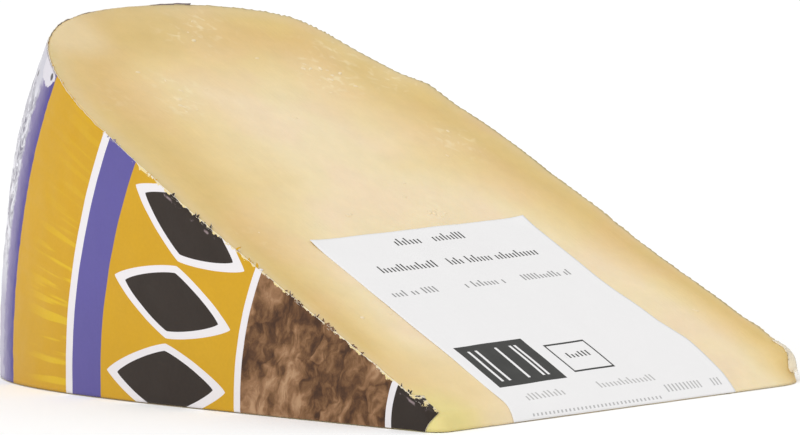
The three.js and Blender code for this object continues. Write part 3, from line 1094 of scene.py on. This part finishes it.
def flake(flakes, draw, root, distance):
    """One bit of paper: a short strip, wider at its foot, that curls away from the label."""
    layers = [flakes.verts.layers.float[name] for name in PRINT_LAYERS]
    length = draw.uniform(*FLAKE_LENGTH) * draw.uniform(0.5, 1.0)
    width = draw.uniform(*FLAKE_WIDTH)
    lean = draw.uniform(0.1, 1.35)
    yaw = draw.uniform(-0.7, 0.7)
    curl = draw.uniform(-0.5, 0.9)
    tip_share = draw.uniform(0.35, 0.95)
    strip = bmesh.ops.create_grid(flakes, x_segments=2, y_segments=3, size=0.5)["verts"]
    for vert in strip:
        share = vert.co.y + 0.5
        ragged = 1 + 0.35 * draw.uniform(-1, 1) * share
        across = vert.co.x * width * (1 - (1 - tip_share) * share)
        bend = lean + curl * share
        out = (UPPER_CUT * math.cos(bend) + INWARD * math.sin(bend)) * length * share * ragged
        vert.co = root + out + DOWN_THE_CUT * (across + math.sin(yaw) * length * share)
        for layer, measure in zip(layers, (distance, -0.001, CUT_ANGLE)):
            vert[layer] = measure


def paper_flakes():
    draw = random.Random(FLAKE_SEED)
    flakes = bmesh.new()
    for name in PRINT_LAYERS:
        flakes.verts.layers.float.new(name)
    for _ in range(FLAKE_TRIES):
        distance = draw.uniform(*FLAKES_BETWEEN)
        likely = noise.noise(Vector((distance / FLAKE_GROUP, 7, 0))) + 0.25
        likely *= FLAKES_RARE if distance > FLAKES_RARE_FROM else 1
        edge = Vector((WHEEL_AXIS_X, -HALF_HEIGHT, 0)) - DOWN_THE_CUT * distance
        start = edge - INWARD * PROBE_FROM - UPPER_CUT * FLAKE_PROBE_UNDER
        side = cheese_tree.ray_cast(start, INWARD, 6 * PROBE_FROM)[0]
        root = UPPER_CUT * draw.uniform(*FLAKE_ROOT) - INWARD * LABEL_LIFT
        if side is None or draw.random() > likely:
            continue
        flake(flakes, draw, side + root, distance)
    return flakes


flakes = with_wall(shown_piece("label_flakes", paper_flakes(), *label_finishes), FLAKE_PAPER, 1)
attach(flakes, "root")

# The scale sticker.
# A white thermal label from a shop's scale, stuck over the pointed end of the upper cut and
# folded down over the tip. It carries rows of dashes, a block with pale bars and a small frame.
STICKER_FAR = 0.0638
STICKER_WIDTH = 0.058
STICKER_MIDDLE = -0.0008
STICKER_TURN = math.radians(0.2)
STICKER_STEP = 0.0005
STICKER_COLUMNS = 116
STICKER_ROWS = 136
STICKER_FOOT = 0.0001
STICKER_LIFT = 0.00013
STICKER_PAPER = 0.0001
STICKER_EASE_PASSES = 5
STICKER_WRINKLE = {"size": 0.009, "height": 0.0001}
WRINKLE_PRESSED = -0.2
CORNER_LIFT = {"size": 0.006, "height": 0.0003}
# Over the tip the right-hand edge is drawn in
DRAWN_IN = {"by": 0.0022, "from": 0.0085, "width": 0.012, "curve": 1.4}
# Further up that edge is a little in as well, most at its waist, and the left-hand edge runs
# a little out
EDGE_IN = {"upper": 0.0013, "lower": -0.0003, "from": 0.047, "to": 0.038}
WAIST_IN = {"at": 0.025, "reach": 0.009, "depth": 0.0010}
LEFT_OUT = {"from": 0.015, "to": 0.030, "by": 0.0005}

STICKER_WHITE = (235, 234, 234)
STICKER_INK = (62, 62, 60)
STICKER_GREY_INK = (58, 58, 56)
STICKER_FAINT_INK = (186, 185, 184)
# The print, in millimetres across from the middle and down from the upper edge. Each row of
# dashes has its left and right end, its top, its height, a seed, how dark it is, and its ink
DASH_PITCH = 1.0
DASH_SHARE = 0.42
# Part of the dashes is tall, the rest has only the lower part of the row, and a few are left out
TALL_DASHES, LOW_DASHES_FROM = 0.34, 0.36
DASHES_KEPT = 0.88
DASH_ROWS = (
    (-10.0, 10.0, 2.4, 2.3, 3.0, 1.0, STICKER_GREY_INK),
    (-21.5, 21.5, 10.4, 2.3, 17.0, 1.0, STICKER_GREY_INK),
    (-25.0, -13.0, 18.6, 2.0, 5.0, 0.7, STICKER_GREY_INK),
    (-6.5, 4.5, 18.6, 2.0, 23.0, 0.7, STICKER_GREY_INK),
    (10.0, 23.5, 18.6, 2.0, 61.0, 0.7, STICKER_GREY_INK),
    (-3.6, 3.0, 44.6, 1.7, 9.0, 1.0, STICKER_GREY_INK),
    (-23.0, -12.5, 54.6, 1.9, 31.0, 1.0, STICKER_FAINT_INK),
    (-4.5, 11.0, 54.2, 1.9, 37.0, 1.0, STICKER_FAINT_INK),
)
BLOCK = (-26.2, -8.9, 38.5, 51.8)
BAR_WIDTH = 0.62
BARS_IN = (-40 * BAR_WIDTH, -17 * BAR_WIDTH, 40.2, 50.1)
FRAME_OUTSIDE, FRAME_INSIDE = (-5.8, 4.8, 41.4, 50.6), (-5.4, 4.4, 41.9, 50.1)
# Two rows on the part that is folded down: left, right, and from and to which height they stand
FOLD_ROWS = ((-25.0, 9.0, 0.7, 1.2, 71.0), (11.0, 27.0, 1.6, 2.8, 77.0))
FOLD_ROW_SHARE = 0.45


def sticker_column(across):
    """Points down the cut and over the tip to the table, evenly spaced, at one place across."""
    y = STICKER_MIDDLE + across
    from_the_axis = STICKER_FAR + across * math.tan(STICKER_TURN)
    at = Vector((WHEEL_AXIS_X, y, 0)) - DOWN_THE_CUT * from_the_axis
    heading = DOWN_THE_CUT
    points = []
    while (not points or points[-1].z > STICKER_FOOT) and len(points) < 2 * STICKER_ROWS:
        on_cheese = cheese_tree.find_nearest(at)[0]
        on_cheese.y = y
        if points:
            heading = (on_cheese - points[-1]).normalized()
        points.append(on_cheese)
        at = on_cheese + heading * STICKER_STEP
    last, low = points[-2:]
    past_foot = (last.z - STICKER_FOOT) / max(last.z - low.z, WELD)
    points[-1] = last.lerp(low, min(past_foot, 1))
    return evenly_spaced(points, STICKER_ROWS)


def evenly_spaced(points, steps):
    """The same line through other points, spaced evenly along it, and each one's place on it."""
    run = [0.0]
    for first, second in zip(points, points[1:]):
        run.append(run[-1] + (second - first).length)
    spaced = []
    whole = 0
    for i in range(steps + 1):
        along = run[-1] * i / steps
        while whole < len(points) - 2 and run[whole + 1] < along:
            whole += 1
        share = (along - run[whole]) / max(run[whole + 1] - run[whole], WELD)
        spaced.append((points[whole].lerp(points[whole + 1], share), along))
    return spaced


def edge_shift(across, down):
    """How far to the left a place on the paper lies of where a true rectangle has it."""
    upper = share_of(down, EDGE_IN["from"], EDGE_IN["to"])
    upper *= upper * (3 - 2 * upper)
    inwards = EDGE_IN["lower"] + (EDGE_IN["upper"] - EDGE_IN["lower"]) * upper
    inwards += WAIST_IN["depth"] * math.exp(-((down - WAIST_IN["at"]) / WAIST_IN["reach"]) ** 2)
    outwards = LEFT_OUT["by"] * share_of(down, LEFT_OUT["from"], LEFT_OUT["to"])
    from_middle = 2 * across / STICKER_WIDTH
    return inwards * max(from_middle, 0) + outwards * max(-from_middle, 0)


def sticker_sheet():
    """A flat grid, laid on the cheese column by column."""
    sheet = bmesh.new()
    paper_place = sheet.loops.layers.uv.new("paper")
    bmesh.ops.create_grid(sheet, x_segments=STICKER_COLUMNS, y_segments=STICKER_ROWS, size=0.5)
    columns = [
        sticker_column(STICKER_WIDTH * (i / STICKER_COLUMNS - 0.5))
        for i in range(STICKER_COLUMNS + 1)
    ]
    flat = {}
    for vert in sheet.verts:
        column = columns[round((vert.co.x + 0.5) * STICKER_COLUMNS)]
        across = vert.co.x * STICKER_WIDTH
        vert.co, down = column[round((0.5 - vert.co.y) * STICKER_ROWS)]
        flat[vert.index] = (across, down)
    for face in sheet.faces:
        for loop in face.loops:
            loop[paper_place].uv = flat[loop.vert.index]
    for _ in range(STICKER_EASE_PASSES):
        ease(sheet, [vert for vert in sheet.verts if not vert.is_boundary], 0.5)
    sheet.normal_update()
    if sum((vert.normal for vert in sheet.verts), Vector()).z < 0:
        bmesh.ops.reverse_faces(sheet, faces=sheet.faces)
        sheet.normal_update()
    for vert in sheet.verts:
        across, down = flat[vert.index]
        from_corner = Vector((STICKER_WIDTH / 2 - abs(across), down)).length
        corner = max(0, 1 - from_corner / CORNER_LIFT["size"]) ** 2 * CORNER_LIFT["height"]
        wrinkle = noise.noise(Vector((across, down, 0)) / STICKER_WRINKLE["size"])
        wrinkle = STICKER_WRINKLE["height"] * max(wrinkle, WRINKLE_PRESSED)
        vert.co += vert.normal * (STICKER_LIFT + corner + wrinkle)
        low = share_of(vert.co.z, DRAWN_IN["from"], STICKER_FOOT) ** DRAWN_IN["curve"]
        outer = share_of(across, STICKER_WIDTH / 2 - DRAWN_IN["width"], STICKER_WIDTH / 2)
        vert.co.y -= DRAWN_IN["by"] * low * outer + edge_shift(across, down)
    return sheet


def scale_sticker_finish():
    finish, tree, surface = new_finish("sticker_paper")
    where = object_place(tree)
    flat = parts_of(place(tree, "ShaderNodeUVMap", uv_map="paper").outputs[0])
    across, down = times(flat["X"], 1000.0), times(flat["Y"], 1000.0)
    up_mm = times(1000.0, parts_of(where)["Z"])
    colour = wander(paint(*STICKER_WHITE), where, 60.0, 900.0, 0.02)

    def box(left, right, top, bottom, downwards=down):
        return times(ring(across, left, right), ring(downwards, top, bottom))

    def chance(width, seed, fill):
        """Random strips of one width across the sticker, that fill a share of it."""
        strip = maths("FLOOR", over(across, width))
        feeds = {"W": plus(strip, seed)}
        pick = joined("ShaderNodeTexWhiteNoise", feeds, noise_dimensions="1D").outputs["Value"]
        return below(pick, fill)

    # Thin upright dashes at an even pitch, with more white between them
    dashes = below(maths("FRACT", over(across, DASH_PITCH)), DASH_SHARE)
    for left, right, top, tall, seed, share, ink in DASH_ROWS:
        low_part = box(left, right, top + tall * LOW_DASHES_FROM, top + tall)
        is_tall = chance(DASH_PITCH, seed + 50.0, TALL_DASHES)
        whole = times(box(left, right, top, top + tall), is_tall)
        colour = lay(
            colour, ink, maths("MAXIMUM", low_part, whole), dashes,
            chance(3 * DASH_PITCH, seed, DASHES_KEPT),
            chance(DASH_PITCH, seed + 90.0, DASHES_KEPT), share,
        )
    for left, right, low, high, seed in FOLD_ROWS:
        row = times(box(left, right, low, high, up_mm), dashes)
        row = times(row, chance(3 * DASH_PITCH, seed, 0.8))
        colour = lay(colour, STICKER_GREY_INK, row, FOLD_ROW_SHARE)
    block_ink = wander(paint(*STICKER_INK), where, 150.0, 700.0, 0.35)
    colour = blend(box(*BLOCK), colour, block_ink)
    colour = lay(colour, STICKER_WHITE, box(*BARS_IN), chance(BAR_WIDTH, 40.0, 0.30))
    frame_line = minus(box(*FRAME_OUTSIDE), box(*FRAME_INSIDE))
    feed(surface, {
        "Base Color": lay(colour, STICKER_GREY_INK, frame_line),
        "Roughness": 0.6,
        "Specular IOR Level": 0.25,
        "Normal": fine_relief(cloud(where, 2400.0, detail=3.0), 0.12, 0.00005),
    })
    return finish


sticker = shown_piece("scale_sticker_paper", sticker_sheet(), scale_sticker_finish())
with_wall(sticker, STICKER_PAPER)
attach(sticker, "root")
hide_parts("scale_sticker")

# The fold of film.
# Clear wrapping film, pinched to a soft fold that stands over the tip's corner on the plain
# side. It is held there by its own cling.
FILM_ROUNDS = 3
FILM_THICKNESS = 0.00009
FILM_CRINKLE = {"size": 0.0042, "height": 0.00012}
# How far the fold stands off the cheese, as a share of what its solid does, between two heights
FILM_STANDS = {"top": 0.45, "foot": 0.95}
FILM_STANDS_OUT = (0.0066, 0.0018)
FILM_CLEAR = 0.00012
# Painted highlight: the film's pale peach-white colour stands in for light on the fold
FILM_HIGHLIGHT_COLOUR = (250, 236, 206)
FILM_EDGE_COLOUR = (214, 206, 182)
# How much of it shows, straight on and seen along it, and at its foot, where it fades away
FILM_SHOWS = {"flat": 0.66, "edge": 0.85, "foot": 0.05}
FILM_FADES = (0.0030, 0.0012)


def film_sheet():
    """The outer side of the fold, drawn in close to the cheese at its upper end."""
    shape = welded_copy("film_pleat")
    heart = sum((vert.co for vert in shape.verts), Vector()) / len(shape.verts)

    def is_inner(face, middle):
        return face.normal.dot(middle - heart) < 0

    sheet = refined_sheet(shape, is_inner, "film_form", FILM_ROUNDS)
    for vert in sheet.verts:
        on_cheese, outward = cheese_tree.find_nearest(vert.co)[:2]
        down = share_of(vert.co.z, *FILM_STANDS_OUT)
        stands = FILM_STANDS["top"] + (FILM_STANDS["foot"] - FILM_STANDS["top"]) * down
        off = (vert.co - on_cheese) * stands
        vert.co = on_cheese + (off if off.dot(outward) >= FILM_CLEAR else outward * FILM_CLEAR)
    sheet.normal_update()
    for vert in sheet.verts:
        vert.co += vert.normal * relief(vert.co, FILM_CRINKLE)
    return sheet


def clear_film_finish():
    finish, tree, surface = new_finish("clear_film")
    finish.surface_render_method = "BLENDED"
    turned = place(tree, "ShaderNodeLayerWeight", {"Blend": 0.35}).outputs["Facing"]
    shows = between(turned, FILM_SHOWS["flat"], FILM_SHOWS["edge"])
    foot = rise(parts_of(object_place(tree))["Z"], *FILM_FADES)
    feed(surface, {
        # Painted highlight in the film's colour, greyer where it is seen along
        "Base Color": lay(paint(*FILM_HIGHLIGHT_COLOUR), FILM_EDGE_COLOUR, rise(turned, 0.45, 0.95)),
        "Roughness": 0.12,
        "Alpha": joined("ShaderNodeMix", {0: foot, 2: shows, 3: FILM_SHOWS["foot"]}).outputs[0],
        "Coat Weight": 0.8,
        "Coat Roughness": 0.05,
    })
    return finish


film = with_wall(shown_piece("film_fold", film_sheet(), clear_film_finish()), FILM_THICKNESS)
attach(film, "root")
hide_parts("film_pleat")
